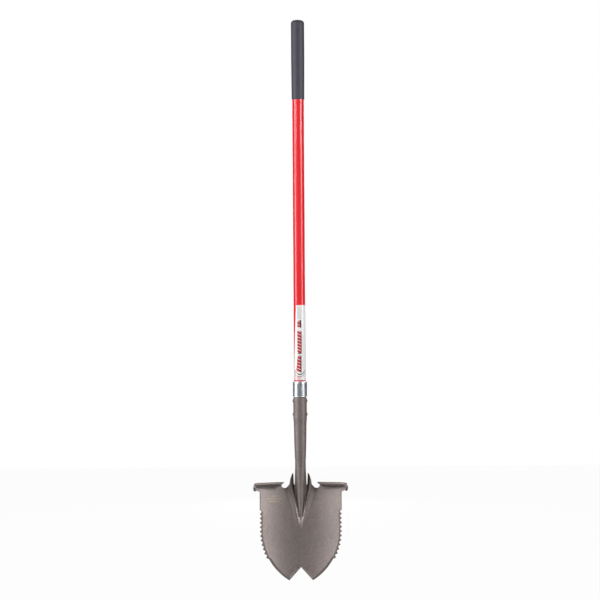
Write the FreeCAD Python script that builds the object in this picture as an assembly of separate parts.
"""Long-handled digging shovel with a saw-edged, twin-tipped round point blade.

Millimetres.  +Z runs up the handle, -Y is the open (hollow) side of the blade and X runs across
it.  The shovel stands on its two tips, and the origin is under the middle of its outer box.
While it is being made the handle axis is x = y = 0; the last step moves everything in Y.
"""
import FreeCAD, Part
import math
import os
from FreeCAD import Placement, Rotation, Vector

# ---- overall -------------------------------------------------------------------------------
TOTAL_LENGTH = 1524.0          # 60 in, tips to the end of the grip

# ---- handle, grip and what is inside them --------------------------------------------------
TUBE_DIAMETER = 31.75          # 1.25 in fibreglass tube
TUBE_BORE = 24.0
TUBE_BOTTOM = 432.0
TUBE_TOP = TOTAL_LENGTH - 7.5
GRIP_BOTTOM = 1305.0
GRIP_TOP_DIAMETER = 36.2
GRIP_BOTTOM_DIAMETER = 34.6
GRIP_STRAIGHT = 100.0          # length of the cylindrical upper stretch
GRIP_DOME_RADIUS = 9.0
GRIP_NIB_HEIGHT = 2.0
GRIP_NIB_DIAMETER = 5.0
SLIP_GAP = 0.05                # radial gap of a glued or pushed-on fit
END_PLUG_LENGTH = 26.0
CORE_TOP = 640.0
CORE_BOTTOM = 412.0
CORE_NOSE_DIAMETER = 17.0
LABEL_BOTTOM = 536.5
LABEL_TOP = 743.0
LABEL_THICKNESS = 0.25
LABEL_START_ANGLE = -123.0     # degrees about the handle from +X; the front is at -90
LABEL_END_ANGLE = 62.0
LABEL_SLANT = 45.0             # degrees by which the left edge leans

# ---- ferrule -------------------------------------------------------------------------------
FERRULE_BOTTOM = 492.4
FERRULE_TOP = 535.0
FERRULE_DIAMETER = 38.2
FERRULE_WALL = 1.15
FERRULE_BEAD_DIAMETER = 39.6
FERRULE_BEAD_HEIGHT = 4.0

# ---- socket --------------------------------------------------------------------------------
SOCKET_TOP = 530.0
SOCKET_DIAMETER = 37.0
SOCKET_NECK_DIAMETER = 35.8    # under the ferrule
SOCKET_SHOULDER = 491.0
SOCKET_BORE = 31.95
SOCKET_WALL = 1.9
SOCKET_BOTTOM = 148.0
BORE_BOTTOM = 430.0
HOLLOW_BOTTOM = 185.0
SKIN_SPACING = 8.0              # between the rings that steer the socket's surface
WAIST_DIAMETER = 29.1          # narrowest stretch, above the blade
SEAM_WIDTH = 0.8               # rolled seam down the back
SEAM_BOTTOM = 330.0

# ---- rivets, which lie along X -------------------------------------------------------------
RIVET_HEIGHTS = {"upper_rivet": 481.0, "lower_rivet": 444.7}
RIVET_SHANK_DIAMETER = 6.0
RIVET_HEAD_DIAMETER = 10.0
RIVET_HEAD_HEIGHT = 2.0

# ---- blade: u across, v up the plate, n towards the digger's front --------------------------
LIFT = 16.0                    # degrees that the plate leans forward of the handle
PLATE_FOOT_Y = -59.4           # where the plate's middle line meets z = 0
PLATE_THICKNESS = 2.5
DISH = 0.0021                  # n = DISH * u * u
SPOON_LENGTH = 120.0           # the lowest stretch also curls forward
SPOON_DEPTH = 8.0
BEHIND_DEPTH = 45.0            # of the trimming slab behind the plate
SIDE_HALF_WIDTH = 111.4
TOOTH_DEPTH = 5.5
TOOTH_PITCH = 12.0
TOOTH_COUNT = 11
TOOTH_LEAD = 7.3               # root to tip, down the edge
FIRST_TOOTH_V = 175.0
EDGE_RADIUS = 153.8
EDGE_CENTRE_V = 127.8
TIP_HALF_WIDTH = 31.8
APEX_V = 33.0
VALLEY_TOP_V = 261.4
EAR_PEAK = (20.6, 293.5)
EAR_FOOT_U = 18.9
NOTCH_CENTRE = (43.5, 261.0)
NOTCH_RADIUS = 10.0
STEP_HALF_WIDTH = 128.0
STEP_TOP_Z = 252.6
TAB_LOWER_V = 238.0

# ---- V-shaped pocket pressed forward around the socket --------------------------------------
POCKET_END_V = 138.0
POCKET_TOP_V = 252.0
CREST_HEIGHT = 8.5
POCKET_DEPTH = 3.0
CREST_END_HALF_WIDTH = 4.6

# ---- turned foot steps ----------------------------------------------------------------------
STEP_DEPTH = 24.0
STEP_RISE = 25.0               # degrees above level, towards the front
STEP_THICKNESS = 2.8
STEP_INNER_U = 46.0            # where the tread starts, beside the notch
NOTCH_RELIEF_Y = 6.0           # centre of the round relief that points the tread's inner end
POINT_SLANT = 38.0             # degrees off straight ahead of the cut beside that point

# ---- welds ----------------------------------------------------------------------------------
WELD_RADIUS = 2.6
WELD_GAP = 0.03                # between the socket's cut edge and the plate
WELD_SECTIONS = 8
SIDE_WELD_TOP = 247.0
SIDE_WELD_BOTTOM = 166.0
REAR_WELD_RADIUS = 3.0
REAR_WELD_HALF_LENGTH = 12.0

RADIANS = math.pi / 180.0
BLADE_PLACE = Placement(Vector(0, PLATE_FOOT_Y, 0), Rotation(Vector(1, 0, 0), 90.0 - LIFT))


def largest(shape):
    return max(shape.Solids, key=lambda solid: solid.Volume)


def tube(outer_diameter, inner_diameter, bottom, top):
    outer = Part.makeCylinder(outer_diameter / 2, top - bottom, Vector(0, 0, bottom))
    inner = Part.makeCylinder(inner_diameter / 2, top - bottom + 2, Vector(0, 0, bottom - 1))
    return outer.cut(inner)


def revolved(profile):
    """Solid of revolution about Z from (radius, height) corners."""
    corners = [Vector(radius, 0, height) for radius, height in profile]
    face = Part.Face(Part.makePolygon(corners + corners[:1]))
    return face.revolve(Vector(0, 0, 0), Vector(0, 0, 1), 360)


# ==== blade ==================================================================================

def smooth(value):
    value = min(1.0, max(0.0, value))
    return value * value * (3.0 - 2.0 * value)


def pocket_share(v):
    """0 at the pocket's lower end, 1 level with the steps and above."""
    return min(1.0, max(0.0, (v - POCKET_END_V) / (POCKET_TOP_V - POCKET_END_V)))


def crest_half_width(v):
    share = pocket_share(v)
    return CREST_END_HALF_WIDTH + 16.0 * share + 5.2 * share * share


def plate_height(u, v):
    """Forward offset n of the plate's middle surface."""
    across = abs(u)
    share = pocket_share(v)
    crest = crest_half_width(v)
    inner_slope = 3.5 + 5.0 * share
    outer_slope = 4.5 + 8.5 * share
    lift = CREST_HEIGHT * share ** 0.7
    floor = -POCKET_DEPTH * smooth(share * 1.5)
    if across >= crest:
        pocket = lift * (1.0 - smooth((across - crest) / outer_slope))
    else:
        pocket = floor + (lift - floor) * (1.0 - smooth((crest - across) / inner_slope))
    spoon = SPOON_DEPTH * max(0.0, 1.0 - v / SPOON_LENGTH) ** 2
    return DISH * u * u + spoon + pocket


def plate_point(u, v, offset):
    """Point at a distance in front of the middle surface, in plate axes."""
    step = 0.25
    slope_u = (plate_height(u + step, v) - plate_height(u - step, v)) / (2 * step)
    slope_v = (plate_height(u, v + step) - plate_height(u, v - step)) / (2 * step)
    normal = Vector(-slope_u, -slope_v, 1.0)
    normal.normalize()
    return Vector(u, v, plate_height(u, v)) + normal * offset


def column_positions(v):
    """Distances from the middle line of the surface's columns, following the crest."""
    crest = crest_half_width(v)
    share = pocket_share(v)
    outer_slope = 4.5 + 8.5 * share
    inside = [crest * part for part in (0.0, 0.3, 0.55, 0.75, 0.9, 1.0)]
    outside = [crest + outer_slope * part for part in (0.18, 0.4, 0.65, 0.9, 1.2)]
    last = outside[-1]
    reach = STEP_HALF_WIDTH + 10.0 - last
    plain = [last + reach * part for part in (0.14, 0.3, 0.46, 0.63, 0.8, 1.0)]
    return inside + outside + plain


def sheet_surface(offset):
    """Cubic surface whose control points lie on the plate at one offset."""
    rows = 54
    low_v = -16.0
    high_v = 306.0
    poles = []
    for row in range(rows):
        v = low_v + (high_v - low_v) * row / (rows - 1)
        half = column_positions(v)
        across = [-u for u in reversed(half[1:])] + half
        poles.append([plate_point(u, v, offset) for u in across])
    columns = len(poles[0])
    surface = Part.BSplineSurface()
    surface.buildFromPolesMultsKnots(
        poles,
        [4] + [1] * (rows - 4) + [4],
        [4] + [1] * (columns - 4) + [4],
        list(range(rows - 2)),
        list(range(columns - 2)),
        False, False, 3, 3)
    return surface


def sheet_solid(back_offset, front_offset):
    """Closed slab between two offsets of the plate's middle surface."""
    back = sheet_surface(back_offset).toShape()
    front = sheet_surface(front_offset).toShape()
    faces = [back, front]
    for back_edge in back.Edges:
        middle = back_edge.CenterOfMass
        nearest = min(front.Edges, key=lambda edge: edge.CenterOfMass.distanceToPoint(middle))
        faces.append(Part.makeRuledSurface(back_edge, nearest))
    shell = Part.makeShell(faces)
    shell.sewShape()
    solid = Part.makeSolid(shell)
    if solid.Volume < 0:
        solid.reverse()
    return solid


def step_top_v(u):
    """Height up the plate where it reaches the level of the steps."""
    n = DISH * u * u
    return (STEP_TOP_Z - n * math.sin(LIFT * RADIANS)) / math.cos(LIFT * RADIANS)


def edge_point(run, outward):
    """Point beside the lower edge: run is measured down it from the first tooth's level."""
    straight = FIRST_TOOTH_V - EDGE_CENTRE_V
    root = SIDE_HALF_WIDTH - TOOTH_DEPTH
    if run <= straight:
        return root + outward, FIRST_TOOTH_V - run
    angle = (run - straight) / EDGE_RADIUS
    radius = EDGE_RADIUS + outward
    centre_u = root - EDGE_RADIUS
    return centre_u + radius * math.cos(angle), EDGE_CENTRE_V - radius * math.sin(angle)


def half_outline():
    """Corners and arcs of the right half, from the inverted V round to the valley's top."""
    root = SIDE_HALF_WIDTH - TOOTH_DEPTH
    tip_angle = math.acos((TIP_HALF_WIDTH - (root - EDGE_RADIUS)) / EDGE_RADIUS)
    straight = FIRST_TOOTH_V - EDGE_CENTRE_V
    tip_run = straight + tip_angle * EDGE_RADIUS
    last_root = (TOOTH_COUNT - 1) * TOOTH_PITCH + TOOTH_PITCH - TOOTH_LEAD
    pieces = [("line", (0.0, APEX_V), edge_point(tip_run, 0.0))]
    middle = edge_point((tip_run + last_root) / 2, 0.0)
    pieces.append(("arc", edge_point(tip_run, 0.0), middle, edge_point(last_root, 0.0)))
    corner = edge_point(last_root, 0.0)
    for tooth in reversed(range(TOOTH_COUNT)):
        tip = edge_point(tooth * TOOTH_PITCH, TOOTH_DEPTH)
        upper_root = edge_point(tooth * TOOTH_PITCH - TOOTH_LEAD, 0.0)
        pieces.append(("line", corner, tip))
        pieces.append(("line", tip, upper_root))
        corner = upper_root
    side_foot = (SIDE_HALF_WIDTH, FIRST_TOOTH_V + TOOTH_LEAD + 4.5)
    side_head = (SIDE_HALF_WIDTH, TAB_LOWER_V - 4.0)
    pieces.append(("line", corner, side_foot))
    pieces.append(("line", side_foot, side_head))
    tab_inner = (SIDE_HALF_WIDTH + 3.2, TAB_LOWER_V - 0.2)
    pieces.append(("arc", side_head, (SIDE_HALF_WIDTH + 0.9, TAB_LOWER_V - 1.2), tab_inner))
    tab_outer = (STEP_HALF_WIDTH - 4.0, TAB_LOWER_V + 3.0)
    tab_side = (STEP_HALF_WIDTH, TAB_LOWER_V + 6.5)
    pieces.append(("line", tab_inner, tab_outer))
    pieces.append(("arc", tab_outer, (STEP_HALF_WIDTH - 1.1, TAB_LOWER_V + 4.3), tab_side))
    top_corner = (STEP_HALF_WIDTH, step_top_v(STEP_HALF_WIDTH))
    notch_u, notch_v = NOTCH_CENTRE
    step_inner = (notch_u + NOTCH_RADIUS, step_top_v(notch_u + NOTCH_RADIUS))
    half_way = (top_corner[0] + step_inner[0]) / 2
    pieces.append(("line", tab_side, top_corner))
    pieces.append(("arc", top_corner, (half_way, step_top_v(half_way)), step_inner))
    notch_start = (notch_u + NOTCH_RADIUS, notch_v - 2.0)
    notch_end = (notch_u - 9.0, notch_v - 4.2)
    pieces.append(("line", step_inner, notch_start))
    pieces.append(("arc", notch_start, (notch_u + 0.5, notch_v - NOTCH_RADIUS), notch_end))
    ear_foot = (30.2, VALLEY_TOP_V + 2.0)
    pieces.append(("arc", notch_end, (31.6, VALLEY_TOP_V - 1.6), ear_foot))
    pieces.append(("arc", ear_foot, (27.6, 277.5), EAR_PEAK))
    ear_inner = (EAR_FOOT_U, VALLEY_TOP_V + 1.5)
    pieces.append(("line", EAR_PEAK, ear_inner))
    pieces.append(("line", ear_inner, (EAR_FOOT_U - 1.5, VALLEY_TOP_V)))
    pieces.append(("line", (EAR_FOOT_U - 1.5, VALLEY_TOP_V), (0.0, VALLEY_TOP_V)))
    return pieces


def outline_prism():
    """The plate's outline as a tall prism in plate axes."""
    edges = []
    for sign in (1.0, -1.0):
        for kind, *ends in half_outline():
            points = [Vector(sign * u, v, -40.0) for u, v in ends]
            if kind == "line":
                edges.append(Part.LineSegment(points[0], points[1]).toShape())
            else:
                edges.append(Part.Arc(points[0], points[1], points[2]).toShape())
    wire = Part.Wire(Part.__sortEdges__(edges))
    return Part.Face(wire).extrude(Vector(0, 0, 130.0))


def step_section(u, side):
    """One slice of a foot step: forward and up from inside the plate's thickness."""
    n = DISH * u * u
    sine = math.sin(LIFT * RADIANS)
    cosine = math.cos(LIFT * RADIANS)
    v = step_top_v(u)
    y = PLATE_FOOT_Y + v * sine - n * cosine
    forward = Vector(0, -math.cos(STEP_RISE * RADIANS), math.sin(STEP_RISE * RADIANS))
    downward = Vector(0, -math.sin(STEP_RISE * RADIANS), -math.cos(STEP_RISE * RADIANS))
    root = Vector(side * u, y + 0.6, STEP_TOP_Z - 0.5)
    front = root + forward * STEP_DEPTH
    under = downward * STEP_THICKNESS
    corners = [root, front, front + under, root + under]
    return Part.makePolygon(corners + corners[:1])


def make_step(side):
    """A turned foot step, with the inner end cut to a forward point."""
    count = 7
    width = STEP_HALF_WIDTH - STEP_INNER_U
    stations = [STEP_INNER_U + width * index / (count - 1) for index in range(count)]
    step = Part.makeLoft([step_section(u, side) for u in stations], True, False)
    notch_u = NOTCH_CENTRE[0]
    relief_foot = Vector(side * notch_u, NOTCH_RELIEF_Y, STEP_TOP_Z - 30.0)
    relief = Part.makeCylinder(NOTCH_RADIUS, 60.0, relief_foot)
    slant = Part.makeBox(20.0, 40.0, 60.0, Vector(-10.0, -20.0, -30.0))
    slant.rotate(Vector(0, 0, 0), Vector(0, 0, 1), side * POINT_SLANT)
    slant.translate(Vector(side * (notch_u - 4.0), 1.0, STEP_TOP_Z))
    return step.cut(relief).cut(slant)


def make_blade():
    plate = sheet_solid(-PLATE_THICKNESS / 2, PLATE_THICKNESS / 2).common(outline_prism())
    plate = plate.Solids[0]
    plate.Placement = BLADE_PLACE
    blade = plate.fuse([make_step(1.0), make_step(-1.0)])
    return blade.Solids[0]


# ==== socket =================================================================================

def wrapped_radius(angle, circles):
    """Distance from the axis to the outline wrapped round some circles, in one direction."""
    best = 1.0e9
    count = 720
    for index in range(1, count):
        direction = angle + (index / count - 0.5) * math.pi
        reach = max(x * math.cos(direction) + y * math.sin(direction) + r for x, y, r in circles)
        best = min(best, reach / math.cos(direction - angle))
    return best


def socket_circles(z, inset):
    """Three circles that the socket's section wraps: the front ridge and two rear corners."""
    front_radius, rear_radius, half_width, back_y = socket_shape(z)
    front_y = -socket_front(z)
    return [
        (0.0, front_y + front_radius, front_radius - inset),
        (half_width - rear_radius, back_y - rear_radius, rear_radius - inset),
        (rear_radius - half_width, back_y - rear_radius, rear_radius - inset),
    ]


SOCKET_STATIONS = (
    # height, front radius, rear radius, half width, back
    (SOCKET_TOP + 12, 18.5, 18.5, 18.5, 18.5),
    (436.0, 18.5, 18.5, 18.5, 18.5),
    (417.0, 17.35, 17.35, 17.35, 17.35),
    (374.0, 16.6, 16.6, 16.6, 16.6),
    (340.0, 15.6, 15.6, 15.6, 15.6),
    (319.0, 14.55, 14.55, 14.55, 14.55),
    (303.0, 14.3, 13.6, 14.55, 14.5),
    (285.0, 12.8, 9.0, 15.1, 14.5),
    (268.0, 11.2, 6.0, 15.9, 14.8),
    (252.0, 9.8, 5.0, 16.4, 15.5),
    (225.0, 8.0, 4.5, 14.2, 15.5),
    (195.0, 6.4, 4.0, 10.6, 12.0),
    (165.0, 4.6, 3.6, 6.4, 6.0),
    (SOCKET_BOTTOM, 3.4, 3.0, 4.2, 2.0),
)


def station_slope(index, column):
    """Slope of one measure at a station, level where it turns or stops."""
    if index in (0, len(SOCKET_STATIONS) - 1):
        return 0.0
    above, here, below = SOCKET_STATIONS[index - 1:index + 2]
    first = (above[column] - here[column]) / (above[0] - here[0])
    second = (here[column] - below[column]) / (here[0] - below[0])
    if first * second <= 0.0:
        return 0.0
    return 2.0 * first * second / (first + second)


def socket_shape(z):
    """Front radius, rear radius, half width and back at a height, run smoothly between stations."""
    index = 0
    while index < len(SOCKET_STATIONS) - 2 and z < SOCKET_STATIONS[index + 1][0]:
        index += 1
    upper, lower = SOCKET_STATIONS[index], SOCKET_STATIONS[index + 1]
    span = upper[0] - lower[0]
    t = (z - lower[0]) / span
    shape = []
    for column in range(1, len(upper)):
        low_slope = station_slope(index + 1, column) * span
        high_slope = station_slope(index, column) * span
        shape.append(
            (2 * t ** 3 - 3 * t ** 2 + 1) * lower[column] + (t ** 3 - 2 * t ** 2 + t) * low_slope
            + (3 * t ** 2 - 2 * t ** 3) * upper[column] + (t ** 3 - t ** 2) * high_slope)
    return shape


def socket_front(z):
    """Distance of the front ridge from the axis: it never falls inside the waist."""
    return max(socket_shape(z)[0], WAIST_DIAMETER / 2)


def closed_skin(rings):
    """Solid with a cubic side steered by rings of control points, and flat ends."""
    along = len(rings)
    around = len(rings[0])
    surface = Part.BSplineSurface()
    surface.buildFromPolesMultsKnots(
        rings,
        [4] + [1] * (along - 4) + [4],
        [1] * (around + 1),
        list(range(along - 2)),
        list(range(around + 1)),
        False, True, 3, 3)
    side = surface.toShape()
    ends = [Part.Face(Part.Wire(edge)) for edge in side.Edges if abs(edge.BoundBox.ZLength) < 1.0e-6]
    shell = Part.makeShell([side] + ends)
    shell.sewShape()
    solid = Part.makeSolid(shell)
    if solid.Volume < 0:
        solid.reverse()
    return solid


def socket_skin(bottom, top, inset):
    """The socket's outer or inner form between two heights."""
    around = 40
    rings = max(6, round((top - bottom) / SKIN_SPACING))
    pull = 3.0 / (2.0 + math.cos(2 * math.pi / around))    # a cubic runs inside its control points
    net = []
    for ring in range(rings + 1):
        z = bottom + (top - bottom) * ring / rings
        circles = socket_circles(z, inset)
        points = []
        for index in range(around):
            angle = 2 * math.pi * index / around + math.pi / 2
            radius = wrapped_radius(angle, circles) * pull
            points.append(Vector(radius * math.cos(angle), radius * math.sin(angle), z))
        net.append(points)
    return closed_skin(net)


def make_socket(skin, behind_plate):
    ring = tube(SOCKET_DIAMETER + 20.0, SOCKET_NECK_DIAMETER, SOCKET_SHOULDER, SOCKET_TOP + 10.0)
    cap = Part.makeBox(60, 60, 20, Vector(-30, -30, SOCKET_TOP))
    body = skin.cut(ring).cut(cap)
    hollow = socket_skin(HOLLOW_BOTTOM, BORE_BOTTOM, SOCKET_WALL)
    bore_foot = Vector(0, 0, BORE_BOTTOM - 0.01)
    bore = Part.makeCylinder(SOCKET_BORE / 2, SOCKET_TOP - BORE_BOTTOM + 5, bore_foot)
    seam_foot = Vector(-SEAM_WIDTH / 2, 12.0, SEAM_BOTTOM)
    seam = Part.makeBox(SEAM_WIDTH, 8.0, SOCKET_TOP - SEAM_BOTTOM + 5, seam_foot)
    body = body.cut(hollow).cut(bore).cut(seam)
    for height in RIVET_HEIGHTS.values():
        body = body.cut(rivet_shank(height, 30.0, 0.02))
    body = body.cut(behind_plate)
    return largest(body)


# ==== rivets =================================================================================

def rivet_shank(height, half_length, extra):
    radius = RIVET_SHANK_DIAMETER / 2 + extra
    return Part.makeCylinder(radius, 2 * half_length, Vector(-half_length, 0, height), Vector(1, 0, 0))


def make_rivet(height):
    seat = SOCKET_DIAMETER / 2 + 0.02
    reach = SOCKET_DIAMETER / 2 + RIVET_HEAD_HEIGHT
    rivet = rivet_shank(height, reach - 0.8, 0.0)
    head_radius = RIVET_HEAD_DIAMETER / 2
    dome_radius = (head_radius ** 2 + RIVET_HEAD_HEIGHT ** 2) / (2 * RIVET_HEAD_HEIGHT)
    barrel = Part.makeCylinder(seat, 30.0, Vector(0, 0, height - 15.0))
    for side in (1.0, -1.0):
        dome = Part.makeSphere(dome_radius, Vector(side * (reach - dome_radius), 0, height))
        rim = Part.makeCylinder(head_radius, 12.0, Vector(side * 12.0, 0, height), Vector(side, 0, 0))
        rivet = rivet.fuse(dome.common(rim).cut(barrel))
    return rivet.Solids[0]


# ==== everything on the handle ===============================================================

def drilled(shape):
    for height in RIVET_HEIGHTS.values():
        shape = shape.cut(rivet_shank(height, 30.0, 0.02))
    return shape


def make_handle_tube():
    return drilled(tube(TUBE_DIAMETER, TUBE_BORE, TUBE_BOTTOM, TUBE_TOP))


def make_core_plug():
    radius = TUBE_BORE / 2 - SLIP_GAP
    nose = CORE_NOSE_DIAMETER / 2
    return drilled(revolved([
        (0, CORE_BOTTOM), (nose, CORE_BOTTOM), (radius, TUBE_BOTTOM), (radius, CORE_TOP - 2),
        (radius - 2, CORE_TOP), (0, CORE_TOP)]))


def make_end_plug():
    radius = TUBE_BORE / 2 - SLIP_GAP
    bottom = TUBE_TOP - END_PLUG_LENGTH
    top = TUBE_TOP - 0.3
    return revolved([(0, bottom), (radius - 1, bottom), (radius, bottom + 2), (radius, top), (0, top)])


def make_ferrule():
    inner = FERRULE_DIAMETER / 2 - FERRULE_WALL
    outer = FERRULE_DIAMETER / 2
    bead = FERRULE_BEAD_DIAMETER / 2
    rim_inner = TUBE_DIAMETER / 2 + 0.15
    flange = 1.8
    bead_bottom = FERRULE_TOP - FERRULE_BEAD_HEIGHT
    return revolved([
        (inner, FERRULE_BOTTOM), (outer - 0.3, FERRULE_BOTTOM), (outer, FERRULE_BOTTOM + 0.4),
        (outer, bead_bottom - 1.5), (bead, bead_bottom), (bead, FERRULE_TOP - 1.2),
        (bead - 1.0, FERRULE_TOP), (rim_inner + 0.6, FERRULE_TOP), (rim_inner, FERRULE_TOP - 0.6),
        (rim_inner, FERRULE_TOP - flange), (inner, FERRULE_TOP - flange - 1.5)])


def make_grip():
    """Dipped sleeve: straight upper stretch, slight taper below, domed end with a small nib."""
    top_radius = GRIP_TOP_DIAMETER / 2
    bottom_radius = GRIP_BOTTOM_DIAMETER / 2
    bore = TUBE_DIAMETER / 2 + SLIP_GAP
    crown = TOTAL_LENGTH - GRIP_NIB_HEIGHT
    shoulder = crown - GRIP_DOME_RADIUS
    corner = [
        (top_radius - GRIP_DOME_RADIUS * (1 - math.cos(a)), shoulder + GRIP_DOME_RADIUS * math.sin(a))
        for a in [RADIANS * step for step in (0, 22.5, 45, 67.5, 90)]]
    start = Vector(corner[0][0], 0, corner[0][1])
    middle = Vector(corner[2][0], 0, corner[2][1])
    end = Vector(corner[4][0], 0, corner[4][1])
    ceiling = TUBE_TOP + 0.2
    nib = GRIP_NIB_DIAMETER / 2
    path = [
        Vector(0, 0, ceiling), Vector(bore, 0, ceiling), Vector(bore, 0, GRIP_BOTTOM),
        Vector(bottom_radius - 0.8, 0, GRIP_BOTTOM), Vector(bottom_radius, 0, GRIP_BOTTOM + 0.8),
        Vector(top_radius, 0, shoulder - GRIP_STRAIGHT), start]
    edges = [Part.LineSegment(a, b).toShape() for a, b in zip(path, path[1:])]
    edges.append(Part.Arc(start, middle, end).toShape())
    tip = Vector(nib * 0.35, 0, TOTAL_LENGTH)
    cap = [end, Vector(nib, 0, crown), tip, Vector(0, 0, TOTAL_LENGTH), path[0]]
    edges += [Part.LineSegment(a, b).toShape() for a, b in zip(cap, cap[1:])]
    face = Part.Face(Part.Wire(edges))
    return face.revolve(Vector(0, 0, 0), Vector(0, 0, 1), 360)


def make_label():
    """Thin wrap on the front of the handle, with a slanting left edge."""
    inner = TUBE_DIAMETER / 2 + 0.02
    sleeve = tube(2 * (inner + LABEL_THICKNESS), 2 * inner, LABEL_BOTTOM, LABEL_TOP)
    reach = 60.0
    count = 4
    lower_edge = (LABEL_BOTTOM - 1, LABEL_START_ANGLE - LABEL_SLANT)
    upper_edge = (LABEL_TOP + 1, LABEL_START_ANGLE)
    keep = []
    for height, start in (lower_edge, upper_edge):
        first = start * RADIANS
        last = LABEL_END_ANGLE * RADIANS
        corners = [Vector(0, 0, height)]
        for index in range(count + 1):
            angle = first + (last - first) * index / count
            corners.append(Vector(reach * math.cos(angle), reach * math.sin(angle), height))
        keep.append(Part.makePolygon(corners + corners[:1]))
    wedge = Part.makeLoft(keep, True, True)
    return sleeve.common(wedge).Solids[0]


# ==== welds ==================================================================================

def plate_front_y(x, z):
    """Where the plate's front face lies at a height, near the pocket."""
    sine = math.sin(LIFT * RADIANS)
    cosine = math.cos(LIFT * RADIANS)
    v = z / cosine
    for _ in range(6):
        n = plate_height(x, v) + PLATE_THICKNESS / 2
        v = (z - n * sine) / cosine
    return PLATE_FOOT_Y + v * sine - (plate_height(x, v) + PLATE_THICKNESS / 2) * cosine


def make_side_weld(side, skin, behind_plate):
    """Bead down one flank of the socket, in the corner that it makes with the pocket's floor."""
    sections = []
    for index in range(WELD_SECTIONS):
        z = SIDE_WELD_TOP - (SIDE_WELD_TOP - SIDE_WELD_BOTTOM) * index / (WELD_SECTIONS - 1)
        x = side * (socket_shape(z)[2] - 0.4)
        centre = Vector(x, plate_front_y(x, z) - 0.6, z)
        radius = WELD_RADIUS * (0.6 + 0.4 * smooth((z - SIDE_WELD_BOTTOM) / 30.0))
        sections.append(Part.Wire(Part.makeCircle(radius, centre, Vector(0, 0, 1))))
    bead = Part.makeLoft(sections, True, False)
    return largest(bead.cut(behind_plate).cut(skin))


def make_rear_weld(skin):
    """Bead along the plate's top edge, across the back of the socket."""
    z = VALLEY_TOP_V * math.cos(LIFT * RADIANS) + 1.5
    y = PLATE_FOOT_Y + VALLEY_TOP_V * math.sin(LIFT * RADIANS) + 4.0
    start = Vector(-REAR_WELD_HALF_LENGTH, y, z)
    bead = Part.makeCylinder(REAR_WELD_RADIUS, 2 * REAR_WELD_HALF_LENGTH, start, Vector(1, 0, 0))
    plate_back = -POCKET_DEPTH - PLATE_THICKNESS / 2 - WELD_GAP
    plate = Part.makeBox(60.0, 60.0, 40.0, Vector(-30.0, VALLEY_TOP_V + WELD_GAP - 60.0, plate_back))
    plate.Placement = BLADE_PLACE.multiply(plate.Placement)
    return largest(bead.cut(skin).cut(plate))


# ==== the whole shovel =========================================================================

def middle_y(shapes):
    """Middle of the outer box in Y, from fine meshes of the solids."""
    depths = [point.y for shape in shapes for point in shape.tessellate(0.05)[0]]
    return (min(depths) + max(depths)) / 2


def main():
    blade = make_blade()
    behind_plate = sheet_solid(-BEHIND_DEPTH, PLATE_THICKNESS / 2 + WELD_GAP)
    behind_plate.Placement = BLADE_PLACE
    skin = socket_skin(SOCKET_BOTTOM, SOCKET_TOP + 8.0, 0.0)
    nodes = {
        "blade": blade,
        "socket": make_socket(skin, behind_plate),
        "socket_weld_left": make_side_weld(-1.0, skin, behind_plate),
        "socket_weld_right": make_side_weld(1.0, skin, behind_plate),
        "rear_weld": make_rear_weld(skin),
        "ferrule": make_ferrule(),
        "handle_tube": make_handle_tube(),
        "core_plug": make_core_plug(),
        "end_plug": make_end_plug(),
        "grip": make_grip(),
        "handle_label": make_label(),
    }
    for name, height in RIVET_HEIGHTS.items():
        nodes[name] = make_rivet(height)
    shift = Vector(0, -middle_y(nodes.values()), 0)
    print(f"handle axis at y = {shift.y:.4f}")
    os.makedirs("parts", exist_ok=True)
    for name, shape in nodes.items():
        placed = shape.copy()
        placed.translate(shift)
        placed.exportStep(f"parts/{name}.step")
        volume = placed.Volume / 1000
        print(f"{name}: {volume:.1f} cm3, valid {placed.isValid()}, {len(placed.Solids)} solid")


main()
